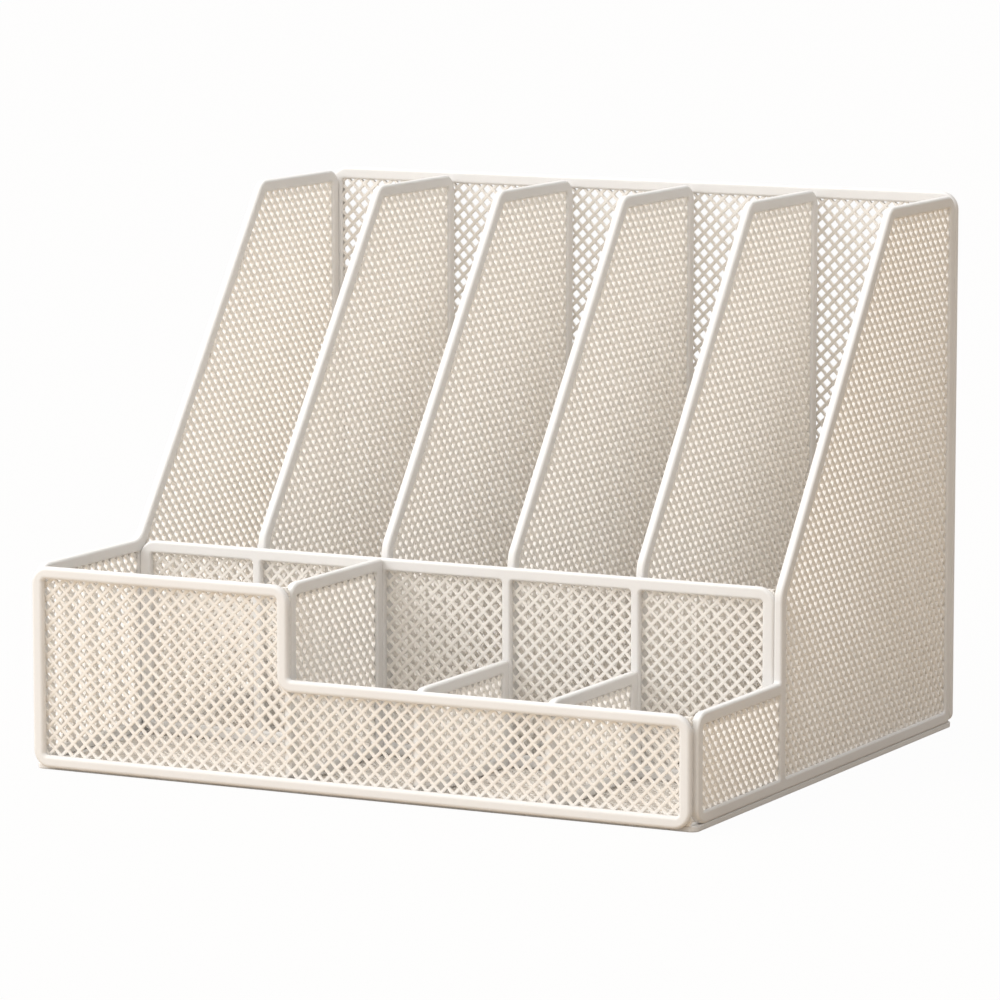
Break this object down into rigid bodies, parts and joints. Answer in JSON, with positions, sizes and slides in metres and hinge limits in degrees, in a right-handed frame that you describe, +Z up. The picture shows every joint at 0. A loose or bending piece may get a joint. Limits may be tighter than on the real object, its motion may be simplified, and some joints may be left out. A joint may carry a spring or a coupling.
{
  "type": "desktop file holder",
  "caption": "Steel mesh desk organizer with upright file slots behind a tall pen box and low open trays, in a plain cream powder coat.",
  "frame": {"origin": "middle of the footprint, on the surface that the part stands on", "axes": "+Z up, -Y towards the user (the pen box and trays), +X to the user's right"},
  "size_m": [0.39, 0.343, 0.298],
  "materials": {
    "rim_coat": "satin cream-white powder coat on steel strip",
    "mesh_coat": "satin cream-white powder coat on expanded steel"
  },
  "bodies": {
    "root": {"front_panel_frame": "rim_coat", "back_panel_frame": "rim_coat", "left_side_frame": "rim_coat", "right_side_frame": "rim_coat", "middle_wall_frame": "rim_coat", "file_divider_1_frame": "rim_coat", "file_divider_2_frame": "rim_coat", "file_divider_3_frame": "rim_coat", "file_divider_4_frame": "rim_coat", "pen_divider_frame": "rim_coat", "tray_divider_1_frame": "rim_coat", "tray_divider_2_frame": "rim_coat", "base_frame": "rim_coat", "front_panel_mesh": "mesh_coat", "back_panel_mesh": "mesh_coat", "left_side_file_mesh": "mesh_coat", "left_side_front_mesh": "mesh_coat", "right_side_file_mesh": "mesh_coat", "right_side_front_mesh": "mesh_coat", "middle_wall_mesh": "mesh_coat", "file_divider_1_mesh": "mesh_coat", "file_divider_2_mesh": "mesh_coat", "file_divider_3_mesh": "mesh_coat", "file_divider_4_mesh": "mesh_coat", "pen_divider_mesh": "mesh_coat", "tray_divider_1_mesh": "mesh_coat", "tray_divider_2_mesh": "mesh_coat", "base_mesh": "mesh_coat"}
  },
  "joints": []
}
